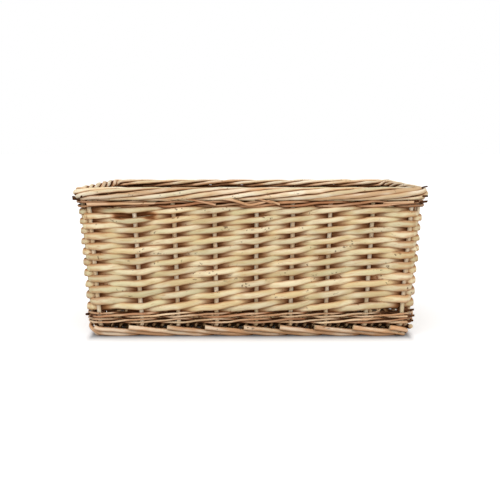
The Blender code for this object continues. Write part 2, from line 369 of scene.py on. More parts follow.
def wall_facing(points, normals):
    """Distance of points outward from the stakes' line, and how squarely they face outward."""
    flare = FLARE * points[:, 2]
    corner = np.stack([HALF_WIDTH + flare, HALF_DEPTH + flare], axis=1) - CORNER_RADIUS
    beyond = np.abs(points[:, :2]) - corner
    outside = np.maximum(beyond, 0.0)
    length = np.linalg.norm(outside, axis=1)
    reach = length + np.minimum(beyond.max(axis=1), 0.0) - CORNER_RADIUS
    wide = beyond[:, 0] > beyond[:, 1]
    flat = np.stack([wide, ~wide], axis=1).astype(float)
    way = np.where(length[:, None] > 1e-6, outside / np.maximum(length, 1e-6)[:, None], flat)
    return reach, (normals[:, :2] * (way * np.sign(points[:, :2]))).sum(axis=1)


def depth_light(points):
    """Light on the inside of the walls, which falls off towards the base."""
    return INSIDE_LIGHT + (1.0 - INSIDE_LIGHT) * soft_step(points[:, 2], *INSIDE_HEIGHTS)


def openness(points, normals, crevice):
    """Painted light: how far a surface lies clear of the middle of the wall, on the side that it faces,
    with painted shade on upper and under sides.
    """
    reach, facing = wall_facing(points, normals)
    facing = np.clip(facing, -1.0, 1.0)
    out = soft_step(reach, *OPEN_REACH)
    inward = soft_step(-reach, *OPEN_REACH) * depth_light(points)
    clear = out * (0.5 + 0.5 * facing) + inward * (0.5 - 0.5 * facing)
    return clear * (1.0 - crevice * soft_step(np.abs(normals[:, 2]), *CREVICE_SLOPE))


def siding_openness(points, normals, crevice):
    """Painted light of a weaver, whose ends get painted shade where they lie in a waling band, with a
    painted dark gap at each thin spot.
    """
    _, second, upper = band_middles()
    bottom = upper - WALE_BAND_HALF
    top = second + WALE_BAND_HALF
    under = soft_step(points[:, 2], *(bottom + edge for edge in UPPER_BAND_EDGE))
    over = 1.0 - soft_step(points[:, 2], *(top + edge for edge in LOWER_BAND_EDGE))
    clear = openness(points, normals, crevice) * (1.0 - BAND_SHADE * under) * (1.0 - BAND_SHADE * over)
    for place, level, _ in THIN_SPOTS:
        away = np.abs(points - on_wall(place, 0.0, level)) / DARK_GAP
        clear *= soft_step(away.max(axis=1), *DARK_GAP_EDGE)
    return clear


def stake_openness(points, normals, crevice):
    """Painted light and shade of a stake: in the rope of the rim, in the foot border, and in the wall
    between.
    """
    reach, facing = wall_facing(points, normals)
    lay, middle, overhang = rim_rope()
    rope = soft_step(np.hypot(reach - overhang, points[:, 2] - middle), *ROPE_EDGE)
    rope *= 1.0 - ROPE_INNER_SHADE * soft_step(overhang - reach, 0.0, ROPE_INNER_REACH)
    foot = FOOT_LIGHT * soft_step(facing, *FOOT_FACING) * soft_step(reach, *FOOT_REACH)
    foot *= 1.0 - FOOT_UNDERSIDE_SHADE * soft_step(-normals[:, 2], *FOOT_UNDERSIDE)
    clear = np.maximum(openness(points, normals, crevice), soft_step(facing, *STAKE_FACING))
    clear = np.where(points[:, 2] > middle - lay - RIM_ROD_RADIUS, rope, clear)
    return np.where(points[:, 2] < FOOT_TOP, foot, clear)


def wale_openness(points, normals, crevice):
    """Painted light of a waling rod: clear where it lies before a stake, outside or inside, with painted
    shade under the rim and on undersides.
    """
    reach, facing = wall_facing(points, normals)
    out = soft_step(reach, *WALE_REACH) * soft_step(facing, *WALE_FACING)
    inward = soft_step(-reach, *WALE_REACH) * soft_step(-facing, *WALE_FACING) * depth_light(points)
    shade = 1.0 - RIM_SHADE * soft_step(points[:, 2], *RIM_SHADE_HEIGHTS)
    return (out + inward) * shade * (1.0 - crevice * soft_step(-normals[:, 2], *WALE_UNDERSIDE))


def cut_openness(points, normals, crevice):
    """Cut tips given one low openness, which colours them dark all round."""
    return np.full(len(points), DARK_END_OPENNESS)


def base_openness(points, normals, crevice):
    """Painted light of the base: clear above and below, painted shade at its edges under the walls, and
    painted highlights on the turns that show through the foot.
    """
    reach, facing = wall_facing(points, normals)
    level = soft_step(np.abs(points[:, 2] - base_level()), *BASE_LEVELS)
    clear = (BASE_LIGHT + (1.0 - BASE_LIGHT) * level) * soft_step(-reach, *BASE_REACH)
    clear *= 1.0 - soft_step(facing, *BASE_EDGE_FACING) * (1.0 - soft_step(-reach, *BASE_EDGE_REACH))
    turns = soft_step(facing, *BASE_TURN_FACING) * (1.0 - soft_step(-reach, *BASE_TURN_REACH))
    return clear + BASE_TURN_LIGHT * turns


# Rods


def knot(point, radius, tall=1.0, redness=0.0):
    """One row of a rod's route: place, radius, height of its section as a share, and redness."""
    return (*point, radius, tall, redness)


def grown_radius(radius, distance, swell, dice):
    """Radius along a rod, with slow swelling and a slight thickening at each knot."""
    radius = radius * (1.0 + ripple(distance, dice, swell, SWELL_WAVES))
    place = dice.uniform(0.0, FIRST_KNOT)
    while place < distance[-1]:
        radius *= 1.0 + KNOT_SWELL * np.exp(-((distance - place) / KNOT_LENGTH) ** 2)
        place += dice.uniform(*KNOT_SPACING)
    return radius


def carried_frame(path):
    """Tangent, normal and side of a rod at each row, carried along it without a twist."""
    tangent = np.gradient(path, axis=0)
    tangent /= np.linalg.norm(tangent, axis=1)[:, None]
    normal = np.zeros_like(path)
    guide = np.array((0.0, 0.0, 1.0)) if abs(tangent[0, 2]) < STEEP else np.array((1.0, 0.0, 0.0))
    for row, direction in enumerate(tangent):
        guide = guide - direction * (guide @ direction)
        guide /= np.linalg.norm(guide)
        normal[row] = guide
    return tangent, normal, np.cross(tangent, normal)


def strand(
    knots, dice, wander=0.00022, swell=0.035, sides=SIDES, slants=(0.8, 0.8), tone=None,
    crevice=0.30, opening=openness,
):
    """One rod along its knots, its ends cut aslant by shares of its radius."""
    curve = smooth_curve(knots)
    legs = np.linalg.norm(np.diff(curve[:, :3], axis=0), axis=1)
    distance = np.concatenate([[0.0], np.cumsum(legs)])
    waves = [ripple(distance, dice, wander, WANDER_WAVES) for _ in range(3)]
    path = curve[:, :3] + np.stack(waves, axis=1)
    radius = grown_radius(curve[:, 3], distance, swell, dice)
    tangent, normal, side = carried_frame(path)

    angles = math.tau * np.arange(sides) / sides
    cosines, sines = np.cos(angles), np.sin(angles)
    turns = 2.0 * angles + OVAL_TWIST * distance[:, None] + dice.uniform(0.0, OVAL_TURN)
    spread = (radius[:, None] * (1.0 + OVAL * np.cos(turns)))[:, :, None]
    tall = (curve[:, 4, None] * cosines)[:, :, None]
    facing = tall * normal[:, None, :] + sines[:, None] * side[:, None, :]
    rings = path[:, None, :] + spread * facing
    for end, way in ((0, -1.0), (-1, 1.0)):
        turn = dice.uniform(0.0, math.tau)
        push = 0.5 * (1.0 + np.cos(angles - turn)) * radius[end] * slants[end]
        rings[end] += way * push[:, None] * tangent[end]

    grain = np.empty_like(rings)
    grain[:, :, 0] = distance[:, None] + dice.uniform(0.0, GRAIN_OFFSET)
    grain[:, :, 1] = radius[:, None] * cosines
    grain[:, :, 2] = radius[:, None] * sines
    # Each point's tone, then its openness, which is painted light and shade, then its redness
    tone_shade_redness = np.empty_like(rings)
    tone_shade_redness[:, :, 0] = dice.uniform(0.0, 1.0) if tone is None else tone
    clear = opening(rings.reshape(-1, 3), facing.reshape(-1, 3), crevice)
    tone_shade_redness[:, :, 1] = clear.reshape(rings.shape[:2])
    tone_shade_redness[:, :, 2] = curve[:, 5, None]
    return closed_tube(rings, grain, tone_shade_redness)


def closed_tube(rings, grain, tone_shade_redness):
    """Rings joined in a row and closed by flat cut ends: points, faces, grain, each point's tone with its
    painted shade and redness, and cut.
    """
    count, sides = rings.shape[:2]
    points, grains, tone_shade_redness_rows = (rows.reshape(-1, 3) for rows in (rings, grain, tone_shade_redness))
    cuts = np.zeros(len(points))
    after = [(k + 1) % sides for k in range(sides)]
    faces = [
        (start + k, start + after[k], start + sides + after[k], start + sides + k)
        for start in range(0, (count - 1) * sides, sides) for k in range(sides)
    ]
    for end in (0, count - 1):
        base = len(points)
        points = np.vstack([points, rings[end], rings[end].mean(axis=0)])
        grains = np.vstack([grains, grain[end], grain[end].mean(axis=0)])
        tone_shade_redness_rows = np.vstack([tone_shade_redness_rows, tone_shade_redness[end], tone_shade_redness[end][0]])
        cuts = np.concatenate([cuts, np.ones(sides + 1)])
        edges = zip(range(sides), after) if end else zip(after, range(sides))
        faces += [(base + first, base + last, base + sides) for first, last in edges]
    return points, faces, grains, tone_shade_redness_rows, cuts


def piece(name, strands, finishes, slot, node):
    """One object from its strands, standing for one of the frame's nodes."""
    faces = []
    base = 0
    for points, cells, *_ in strands:
        faces += [tuple(base + corner for corner in cell) for cell in cells]
        base += len(points)
    points, _, grains, tone_shade_redness_rows, cuts = zip(*strands)
    points = np.vstack(points)
    points[:, 2] = np.maximum(points[:, 2], 0.0)
    mesh = bpy.data.meshes.new(name)
    mesh.from_pydata(points.tolist(), [], faces)
    # Grain for the noises, and each point's tone, painted light and shade, and redness
    for title, rows in (("grain", grains), ("tone_shade_redness", tone_shade_redness_rows)):
        layer = mesh.attributes.new(title, "FLOAT_VECTOR", "POINT")
        layer.data.foreach_set("vector", np.vstack(rows).astype(np.float32).ravel())
    layer = mesh.attributes.new("cut", "FLOAT", "POINT")
    layer.data.foreach_set("value", np.concatenate(cuts).astype(np.float32))
    mesh.polygons.foreach_set("use_smooth", [len(cell) == 4 for cell in faces])
    mesh.materials.append(finishes[slot])
    mesh.update()
    made = bpy.data.objects.new(name, mesh)
    bpy.context.scene.collection.objects.link(made)
    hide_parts(node)
    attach(made, "root")


# Willow

# Noises in the grain: how much finer across the rod, scale, detail and roughness
FIBRES = (16.0, 60.0, 3.0, 0.65)
PATCHES = (4.0, 26.0, 2.0, 0.55)
WIDE_PATCHES = (1.0, 9.0, 1.0, 0.55)
SPECKS = (1.6, 240.0, 1.0, 0.55)
SPECK_CLUSTERS = (1.5, 46.0, 0.0, 0.55)

# Low and high threshold of each noise, then the share at each of them
TINT_SHARE = (0.38, 0.64, 0.0, 1.0)
FRESH_SHARE = (0.46, 0.66, 0.0, 0.65)
REDNESS_SHARE = (0.35, 0.62, 0.45, 1.0)
FIBRE_EDGE = (0.50, 0.78)
SPECK_SHARE = (0.60, 0.66, 0.0, 0.75)
SPECK_COLOUR = (84, 46, 22)
CLUSTER_SHARE = (0.60, 0.70, 0.0, 1.0)

# How openness paints shade, once the fibres have made it uneven: stain and deep colours where it is low,
# less cut colour and less gloss
FIBRE_UNEVENNESS = 0.55
SHADE_STAIN_SHARE = (0.35, 1.19, 0.90, 0.0)
DEEP_SHADE_EDGE = (0.17, 0.66)
CUT_SHARE = (0.0, 0.5, 0.3, 1.0)
GLOSS = (0.45, 1.10, 0.0, 0.26)

ROUGHNESS = (0.3, 0.8, 0.52, 0.76)
BUMP_STRENGTH = 0.5
BUMP_DEPTH = 0.00035


def linear(colour):
    """Linear colour of a display colour given in 0 to 255."""
    def one(value):
        value /= 255.0
        return value / 12.92 if value <= 0.04045 else ((value + 0.055) / 1.055) ** 2.4
    return (*map(one, colour), 1.0)


class Graph:
    """Short calls that add shader nodes to one node tree."""

    def __init__(self, tree):
        self.tree = tree

    def fill(self, node, inputs):
        """Gives inputs of a node their values, or links them to the sockets that feed them."""
        for key, value in inputs.items():
            if isinstance(value, bpy.types.NodeSocket):
                self.tree.links.new(value, node.inputs[key])
            else:
                node.inputs[key].default_value = value

    def node(self, kind, inputs=None, **settings):
        made = self.tree.nodes.new(kind)
        for key, value in settings.items():
            setattr(made, key, value)
        self.fill(made, inputs or {})
        return made

    def attribute(self, name, output):
        """Output of what the mesh carries under this name."""
        return self.node("ShaderNodeAttribute", attribute_name=name).outputs[output]

    def noise(self, grain, across, size, detail, roughness):
        """Noise in the rod's own grain, finer across it than along it."""
        stretch = self.node("ShaderNodeMapping", {"Vector": grain, "Scale": (1.0, across, across)})
        return self.node("ShaderNodeTexNoise", {
            "Vector": stretch.outputs["Vector"], "Scale": size, "Detail": detail, "Roughness": roughness,
        }).outputs["Fac"]

    def ramp(self, source, low, high, start=0.0, end=1.0, form="SMOOTHSTEP"):
        """From the start to the end value, as the source goes from low to high."""
        return self.node("ShaderNodeMapRange", {
            "Value": source, "From Min": low, "From Max": high, "To Min": start, "To Max": end,
        }, interpolation_type=form).outputs["Result"]

    def mix(self, share, first, second):
        """Colour between two others, by the node's numbered inputs for colours."""
        return self.node("ShaderNodeMix", {0: share, 6: first, 7: second}, data_type="RGBA").outputs[2]

    def maths(self, operation, first, second):
        return self.node("ShaderNodeMath", {0: first, 1: second}, operation=operation).outputs["Value"]

    def vector(self, operation, first, second=(0.0, 0.0, 0.0)):
        made = self.node("ShaderNodeVectorMath", {0: first, 1: second}, operation=operation)
        return made.outputs["Value" if operation == "LENGTH" else "Vector"]

    def seen_rays(self):
        """One for the camera's own rays and for those that reach it by a mirror or through glass."""
        path = self.node("ShaderNodeLightPath")
        seen = path.outputs["Is Camera Ray"]
        for name in ("Is Glossy Ray", "Is Transmission Ray"):
            seen = self.maths("MAXIMUM", seen, path.outputs[name])
        return seen


def new_material(name):
    """A material and the graph of its nodes."""
    material = bpy.data.materials.new(name)
    material.use_nodes = True
    return material, Graph(material.node_tree)


def bark_colour(graph, grain, fibres, redness, pale, tint, fresh, stain_and_shade, fibre):
    """Colour in full light: patches of other tints, stained fibres, and specks in clusters."""
    patches = graph.noise(grain, *PATCHES)
    colour = graph.mix(graph.ramp(patches, *TINT_SHARE), pale, tint)
    colour = graph.mix(graph.ramp(graph.noise(grain, *WIDE_PATCHES), *FRESH_SHARE), colour, fresh)
    reddened = graph.maths("MULTIPLY", redness, graph.ramp(patches, *REDNESS_SHARE))
    colour = graph.mix(reddened, colour, stain_and_shade)
    colour = graph.mix(graph.ramp(fibres, *FIBRE_EDGE, 0.0, fibre), colour, stain_and_shade)
    specks = graph.ramp(graph.noise(grain, *SPECKS), *SPECK_SHARE)
    clusters = graph.ramp(graph.noise(grain, *SPECK_CLUSTERS), *CLUSTER_SHARE)
    return graph.mix(graph.maths("MULTIPLY", specks, clusters), colour, linear(SPECK_COLOUR))


def willow(name, *colours, tones=(0.90, 1.06), fibre=0.30, deep_shade_share=0.90):
    """Willow rods from display colours; the stain and deep colours paint shade where openness is low, and
    the stain colour also colours the reddened patches and the fibres.
    """
    pale, tint, fresh, stain_and_shade, deep, cut = map(linear, colours)
    material, graph = new_material(name)
    grain = graph.attribute("grain", "Vector")
    # Each point's tone, its openness (painted light and shade) and its redness
    parts = graph.node("ShaderNodeSeparateXYZ", {"Vector": graph.attribute("tone_shade_redness", "Vector")})
    tone, clear, redness = parts.outputs

    fibres = graph.noise(grain, *FIBRES)
    # Painted light and shade, made uneven by the fibres
    uneven = graph.maths("ADD", clear, graph.maths("MULTIPLY", fibres, FIBRE_UNEVENNESS))
    colour = bark_colour(graph, grain, fibres, redness, pale, tint, fresh, stain_and_shade, fibre)
    # Painted shade: the stain colour, then the deep colour, where openness is low
    colour = graph.mix(graph.ramp(uneven, *SHADE_STAIN_SHARE), colour, stain_and_shade)
    colour = graph.mix(graph.ramp(uneven, *DEEP_SHADE_EDGE, deep_shade_share, 0.0), colour, deep)
    # Cut ends show less of their own colour where shade is painted
    ends = graph.maths("MULTIPLY", graph.attribute("cut", "Fac"), graph.ramp(clear, *CUT_SHARE))
    shade = graph.node("ShaderNodeHueSaturation", {
        "Color": graph.mix(ends, colour, cut), "Value": graph.ramp(tone, 0.0, 1.0, *tones),
    })
    bump = graph.node("ShaderNodeBump", {
        "Strength": BUMP_STRENGTH, "Distance": BUMP_DEPTH, "Height": fibres,
    })
    # Gloss is lowered where shade is painted
    graph.fill(graph.tree.nodes["Principled BSDF"], {
        "Base Color": shade.outputs["Color"], "Roughness": graph.ramp(fibres, *ROUGHNESS),
        "Specular IOR Level": graph.ramp(uneven, *GLOSS), "Normal": bump.outputs["Normal"],
    })
    return material


def siding_willow():
    """Pale straw rods of the siding, with a faint green cast."""
    return willow(
        "siding_willow", (237, 222, 184), (219, 196, 147), (211, 202, 156), (190, 126, 80), (92, 44, 14),
        (206, 184, 144), tones=(0.86, 1.07), fibre=0.62,
    )


def stake_willow():
    """Pale cream stakes, with the rim and the foot border."""
    return willow(
        "stake_willow", (255, 241, 212), (235, 210, 166), (219, 204, 158), (204, 144, 98), (64, 28, 5),
        (222, 198, 158), tones=(0.85, 1.07), deep_shade_share=0.97,
    )


def wale_willow():
    """Thin reddish rods of the waling, with very dark cuts."""
    return willow(
        "wale_willow", (246, 218, 180), (216, 174, 130), (234, 212, 168), (172, 112, 74), (36, 14, 3),
        (44, 30, 22), tones=(0.80, 1.06), deep_shade_share=0.98,
    )


def base_willow():
    """Buff rods of the base."""
    return willow(
        "base_willow", (222, 200, 158), (200, 168, 124), (194, 176, 130), (160, 112, 74), (30, 16, 8),
        (190, 160, 116), deep_shade_share=0.98,
    )


def materials():
    """The four willow finishes, by the record's slots."""
    return {
        "siding_willow": siding_willow(),
        "stake_willow": stake_willow(),
        "wale_willow": wale_willow(),
        "base_willow": base_willow(),
    }


# Stakes with their two borders


def foot_lay(passed):
    """Reach and height of a butt where it has passed this many stakes beyond its own."""
    step = 2.0 * BUTT_RADIUS + FOOT_ROD_GAP
    reach = step * math.cos(FOOT_CLIMB) * passed - FOOT_TUCK
    reach += FOOT_BULGE * math.exp(-(((passed - FOOT_BULGE_PLACE) / FOOT_BULGE_SPREAD) ** 2))
    top = step * math.sin(FOOT_CLIMB) * (FOOT_SPAN - FOOT_START)
    share = max(0.0, (passed - FOOT_CLIMB_START) / (FOOT_SPAN - FOOT_CLIMB_START))
    return reach, BUTT_RADIUS - FOOT_FLAT + top * share ** FOOT_CLIMB_CURVE


def rim_rope():
    """Radius of the rim's lay, height of its middle, and how far that overhangs the stakes."""
    step = math.pi / RIM_STRANDS
    lay = (RIM_ROD_RADIUS + 0.5 * RIM_GAP) / (math.sin(step) * math.cos(0.5 * step))
    return lay, RIM_HEIGHT - lay - RIM_ROD_RADIUS, -lay * math.cos(RIM_START_ANGLE)


def butt_knots(index):
    """Knots of a stake's butt, from its cut end outside to the bend under its upright."""
    knots = []
    for place in stations(index - FOOT_SPAN, index - FOOT_START):
        reach, height = foot_lay(index - place)
        knots.append(knot(on_wall(place, reach, height), BUTT_RADIUS, redness=BUTT_REDNESS))
    for height, radius in ((FOOT_BEND_KNEE, BUTT_RADIUS), (FOOT_BEND_ROOT, STAKE_RADIUS)):
        knots.append(knot(on_wall(index - FOOT_LEAN, -FOOT_TUCK, height), radius, redness=BEND_REDNESS))
    return knots


def upright_knots(index):
    """Knots of a stake in the wall."""
    lay, middle, _ = rim_rope()
    bend = middle + lay * math.sin(RIM_START_ANGLE) - RIM_BEND_DROP
    heights = FOOT_BEND_TOP + (bend - FOOT_BEND_TOP) * np.linspace(0.0, 1.0, WALL_KNOTS)
    return [knot(on_wall(index, 0.0, height), STAKE_RADIUS, redness=WALL_REDNESS) for height in heights]


def tip_knots(index, dice):
    """Knots of a stake's tip, laid round the middle of the rim like a strand of a rope."""
    lay, middle, overhang = rim_rope()
    redness = dice.choice(RIM_REDNESS)
    length = RIM_SPAN + dice.uniform(*RIM_TIP_LENGTH)
    stout = dice.uniform(*RIM_STOUTNESS)
    turn = dice.uniform(0.0, math.tau)
    knots = []
    for passed in [RIM_BEND, *np.linspace(RIM_FIRST_KNOT, length, RIM_KNOTS)]:
        angle = RIM_START_ANGLE + passed * math.tau / RIM_STRANDS
        angle += RIM_WANDER * math.sin(RIM_WANDER_RATE * passed + turn)
        ending = soft_step(passed, RIM_TIP_START, length)
        spread = lay - RIM_TIP_SINK * ending
        reach = overhang + spread * math.cos(angle)
        point = on_wall(index + passed, reach, middle + spread * math.sin(angle))
        radius = RIM_ROD_RADIUS * stout * (RIM_FULLNESS - RIM_TAPER * (passed / length) ** 2)
        knots.append(knot(point, radius * (1.0 - RIM_TIP_TAPER * ending), redness=redness))
    return knots


def stakes(finishes):
    """The stakes, each one rod from the foot border through the wall into the rim."""
    for index in range(COUNT):
        dice = random.Random(100 + index)
        name = STAKES[index][0]
        knots = butt_knots(index) + upright_knots(index) + tip_knots(index, dice)
        rod = strand(knots, dice, slants=(0.25, 1.4), opening=stake_openness)
        piece(f"rod_stake_{name}", [rod], finishes, "stake_willow", f"stake_{name}")


# Waling

# Dark cut tips that stick out of a band at the front corners: place, height, reach, radius
CUT_TIPS = {
    "upper_wale": (
        (29.42, 0.1846, 0.0128, 0.0021), (29.62, 0.1834, 0.0118, 0.0016),
        (29.80, 0.1880, 0.0122, 0.0015), (29.10, 0.1868, 0.0118, 0.0014),
        (8.85, 0.2004, 0.0088, 0.0010), (8.50, 0.1884, 0.0146, 0.0015),
        (8.62, 0.1812, 0.0126, 0.0016), (8.20, 0.1820, 0.0098, 0.0016),
    ),
    "lower_wale_2": (
        (29.45, 0.0305, 0.0112, 0.0018), (29.70, 0.0288, 0.0092, 0.0015),
        (8.50, 0.0368, 0.0100, 0.0016), (8.60, 0.0286, 0.0100, 0.0016),
    ),
    "lower_wale_1": (
        (8.55, 0.0215, 0.0092, 0.0015),
    ),
}

# Rod ends that lie across a band: redness, first and last radius, knots of place, height, reach
STRAY_ENDS = {
    "upper_wale": (
        (0.6, (0.0014, 0.0017), ((2.35, 0.1850, 0.0050), (2.70, 0.1815, 0.0078), (3.03, 0.1772, 0.0082))),
        (0.0, (0.0021, 0.0017), (
            (3.20, 0.1852, 0.0060), (3.42, 0.1836, 0.0082), (3.64, 0.1800, 0.0086),
            (3.82, 0.1772, 0.0080), (4.05, 0.1790, 0.0076), (4.32, 0.1828, 0.0060),
        )),
        (0.8, (0.0012, 0.0014), ((4.02, 0.1850, 0.0060), (4.22, 0.1826, 0.0084), (4.42, 0.1800, 0.0080))),
        (0.0, (0.0014, 0.0017), ((4.36, 0.1822, 0.0060), (4.48, 0.1806, 0.0084), (4.62, 0.1780, 0.0086))),
        (0.0, (0.0023, 0.0012), (
            (0.00, 0.1780, 0.0086), (0.50, 0.1786, 0.0084), (1.10, 0.1790, 0.0078),
            (1.70, 0.1794, 0.0050),
        )),
        (0.0, (0.0012, 0.0020), ((7.25, 0.1798, 0.0050), (7.60, 0.1804, 0.0078), (8.02, 0.1810, 0.0086))),
        (0.4, (0.0020, 0.0018), (
            (-0.40, 0.1762, -0.0046), (0.10, 0.1758, -0.0052), (0.60, 0.1756, -0.0052),
            (1.20, 0.1752, -0.0048),
        )),
    ),
    "lower_wale_2": (
        (0.5, (0.0022, 0.0020), (
            (6.40, 0.0372, -0.0046), (6.90, 0.0376, -0.0050), (7.40, 0.0384, -0.0052),
            (7.92, 0.0390, -0.0052),
        )),
        (0.5, (0.0020, 0.0022), (
            (0.10, 0.0372, -0.0052), (0.50, 0.0374, -0.0052), (1.00, 0.0376, -0.0052),
            (1.40, 0.0378, -0.0046),
        )),
        (0.0, (0.0005, 0.0004), ((7.27, 0.0345, 0.0050), (7.33, 0.0362, 0.0066), (7.39, 0.0382, 0.0050))),
    ),
    "lower_wale_1": (
        (0.0, (0.0005, 0.0004), ((7.06, 0.0240, 0.0050), (7.13, 0.0258, 0.0070), (7.20, 0.0276, 0.0050))),
    ),
}


def band_middles():
    """Heights of the middles of the two lower bands and of the upper one."""
    foot_top = foot_lay(FOOT_SPAN)[1] + BUTT_RADIUS
    first = foot_top + LOWER_WALE_SEAT + WALE_BAND_HALF
    second = first + 2.0 * WALE_BAND_HALF + WALE_BAND_GAP
    rim_bottom = RIM_HEIGHT - 2.0 * (rim_rope()[0] + RIM_ROD_RADIUS)
    return first, second, rim_bottom - UPPER_WALE_DROP - WALE_BAND_HALF


def wale_front(post, reach, level):
    """Points of a wale rod in front of a post, which on a corner go round both stakes."""
    if corner_side(post) == 0:
        return [on_wall(post, reach, level)]
    points = []
    for index in (post, post + 1):
        centre, outward, along = stake_at(index, level)
        facing = outward * math.cos(WALE_CORNER_ANGLE)
        facing = facing + along * corner_side(index) * math.sin(WALE_CORNER_ANGLE)
        points.append(centre + facing * reach * WALE_CORNER_REACH)
    return points


def wale_rounds(height, tuck, half_lay, radius):
    """Points of a band's three rounds, and the numbers of those that lie behind a post.

    The two stakes of a corner count as one post. A rod goes in front of two posts, low and then
    high, and behind the third.
    """
    posts = [index for index in range(COUNT) if corner_side(index) != -1]
    first = posts.index(WALE_FIRST_POST)
    reach = STAKE_RADIUS + radius + WRAP_GAP
    end_lift = radius + WRAP_GAP
    steps = WALE_STRANDS * len(posts)
    points = []
    behind = []
    for step in range(steps + 1):
        post = posts[(first + step) % len(posts)]
        corner = corner_side(post) == 1
        after = post + 1 if corner else post
        phase = step % WALE_STRANDS
        if phase == 1:
            points += wale_front(post, reach, height - half_lay)
        elif phase == 2:
            points += wale_front(post, reach, height + half_lay)
            points.append(on_wall(after + 0.5, 0.0, height + WALE_CROSSING))
        else:
            lift = {0: -end_lift, steps: end_lift}.get(step, tuck)
            behind.append(len(points))
            points.append(on_wall(post + 0.5 if corner else post, -reach, height + lift))
            if step < steps:
                points.append(on_wall(after + 0.5, 0.0, height - WALE_CROSSING))
    return points, behind


def wale_rods(height, tuck, half_lay, radius, dice):
    """Knots of a band's rods: its three rounds, cut behind posts into rods of unlike tone."""
    points, behind = wale_rounds(height, tuck, half_lay, radius)
    cuts = behind[::WALE_ROD_POSTS]
    if cuts[-1] != behind[-1]:
        cuts.append(behind[-1])
    slant = np.array((0.0, 0.0, WALE_END_LIFT))
    rods = []
    for first, last in zip(cuts, cuts[1:]):
        stiff = dice.uniform(*WALE_STIFFNESS)
        redness = dice.choice(WALE_REDNESS)
        run = points[first:last + 1]
        run[0] = run[0] - slant
        run[-1] = run[-1] + slant
        tapers = [WALE_FULLNESS - WALE_TAPER * number / (last - first) for number in range(len(run))]
        rods.append([
            knot(point, radius * stiff * taper, redness=redness) for point, taper in zip(run, tapers)
        ])
    return rods


def cut_tips(band):
    """Knots of the short ends that this band leaves standing out at the corners."""
    tips = []
    for place, height, reach, radius in CUT_TIPS[band]:
        root = on_wall(place + TIP_ROOT_PLACE, TIP_ROOT_REACH, height - TIP_ROOT_DROP)
        middle = on_wall(place + TIP_MIDDLE_PLACE, 0.5 * (reach + TIP_ROOT_REACH), height)
        end = on_wall(place, reach, height + TIP_RISE)
        tips.append([
            knot(root, radius, redness=0.9), knot(middle, radius, redness=1.0),
            knot(end, 0.9 * radius, redness=1.0),
        ])
    return tips


def stray_ends(band):
    """Knots of the rod ends that lie across this band."""
    ends = []
    for redness, radii, route in STRAY_ENDS[band]:
        sizes = np.linspace(*radii, len(route))
        ends.append([
            knot(on_wall(place, reach, height), radius, redness=redness)
            for (place, height, reach), radius in zip(route, sizes)
        ])
    return ends


def inner_row(dice):
    """Knots of the rods that close the wall under the rim, inside the stakes."""
    rods = []
    ends = (*INNER_ROW_STARTS[1:], INNER_ROW_STARTS[0] + COUNT)
    for start, end in zip(INNER_ROW_STARTS, ends):
        redness = dice.choice(INNER_ROW_REDNESS)
        tip = end + INNER_ROW_OVERLAP
        knots = []
        for place in stations(start, tip):
            height = INNER_ROW_HEIGHT - INNER_ROW_DROP * soft_step(place, end, tip)
            radius = INNER_ROW_RADIUS * (1.0 - INNER_ROW_TAPER * soft_step(place, start, end))
            knots.append(knot(on_wall(place, INNER_ROW_REACH, height), radius, redness=redness))
        rods.append(knots)
    return rods


def waling_band(name, seed, height, tuck, half_lay, radius, finishes):
    """One band with the ends that stick out of it, and the upper one with the row inside the rim."""
    dice = random.Random(seed)
    rods = []

    def add(routes, opening=wale_openness, **make):
        rods.extend([strand(knots, dice, sides=THIN_SIDES, opening=opening, **make) for knots in routes])

    add(wale_rods(height, tuck, half_lay, radius, dice), wander=0.0004, swell=0.08, crevice=0.75)
    add(cut_tips(name), cut_openness, tone=0.1, crevice=0.0)
    add(stray_ends(name), wander=0.0001, tone=0.9, crevice=0.5)
    if name == "upper_wale":
        add(inner_row(dice), crevice=0.5)
    piece(f"rods_{name}", rods, finishes, "wale_willow", name)


def waling(finishes):
    """The two lower bands and the upper one, which is laid wider of thicker rods."""
    first, second, upper = band_middles()
    low, high = LOWER_WALE_LIFTS
    lower = (WALE_HALF_LAY, WALE_ROD_RADIUS)
    waling_band("lower_wale_1", 300, first + low, 0.0, *lower, finishes)
    waling_band("lower_wale_2", 301, second + high, WALE_HALF_LAY, *lower, finishes)
    waling_band(
        "upper_wale", 302, upper + UPPER_WALE_LIFT, WALE_HALF_LAY, UPPER_WALE_HALF_LAY,
        UPPER_WALE_RADIUS, finishes,
    )


# Siding


def rows_to(index):
    """Rows of rise from the first stake to this one; the three steps of a corner make one row."""
    rows = 0.0
    for passed in range(index):
        if corner_side(passed) == 1:
            rows += CORNER_ROWS[1]
        elif corner_side(passed) == -1 or corner_side(passed + 1) == 1:
            rows += CORNER_ROWS[2 if STAKES[passed % COUNT][1] % 2 else 0]
        else:
            rows += 1.0
    return rows


def siding_ends():
    """Heights of the first and last rows."""
    _, second, upper = band_middles()
    return second + WALE_BAND_HALF - SIDING_START_DROP, upper - SIDING_END_DROP


def row_pitch(row):
    """Distance between rows, which shrinks as the rods taper towards their tips."""
    first_row, last_row = siding_ends()
    lowest = 2.0 * (last_row - first_row) / (SIDING_ROWS * (1.0 + ROW_TAPER))
    return lowest * (1.0 - (1.0 - ROW_TAPER) * row / SIDING_ROWS)


def row_height(row):
    """Height of the middle of a row."""
    return siding_ends()[0] + row * 0.5 * (row_pitch(0) + row_pitch(row))


def row_radius(row):
    """Radius that fills a row but for the gap to the rows above and below."""
    return 0.5 * (row_pitch(row) * ROD_SLOPE_COSINE - ROD_GAP)


def weaver_reach(row):
    """Distance between the centres of a stake and of the weaver that passes it."""
    return STAKE_RADIUS + row_radius(row) * WEAVER_DEEP + WRAP_GAP


